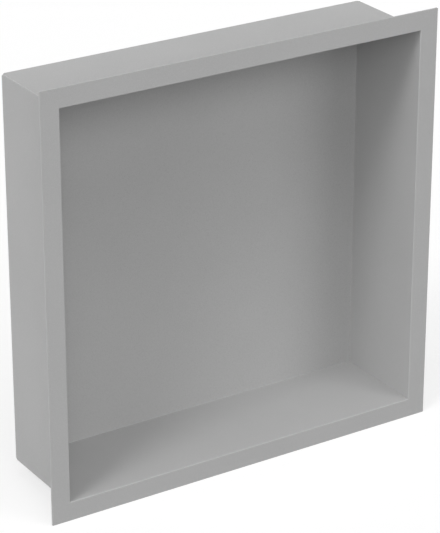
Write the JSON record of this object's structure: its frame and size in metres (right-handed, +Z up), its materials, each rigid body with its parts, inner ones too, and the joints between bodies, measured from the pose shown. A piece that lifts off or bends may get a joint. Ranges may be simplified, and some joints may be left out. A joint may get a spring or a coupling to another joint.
{
  "type": "shower niche insert",
  "caption": "Square recessed shower niche folded from coated steel sheet, open at the front, with a narrow flat flange that laps over the wall tiles.",
  "frame": {"origin": "centre of the niche, in the plane of the flange's rear face, which lies against the tiles", "axes": "+Y runs back into the wall, -Y is the open front, +Z is up and +X is to the right as seen from the front"},
  "size_m": [0.33, 0.08, 0.33],
  "materials": {
    "grey_coat": "matte"
  },
  "bodies": {
    "root": {"niche_body": "grey_coat"}
  },
  "joints": []
}
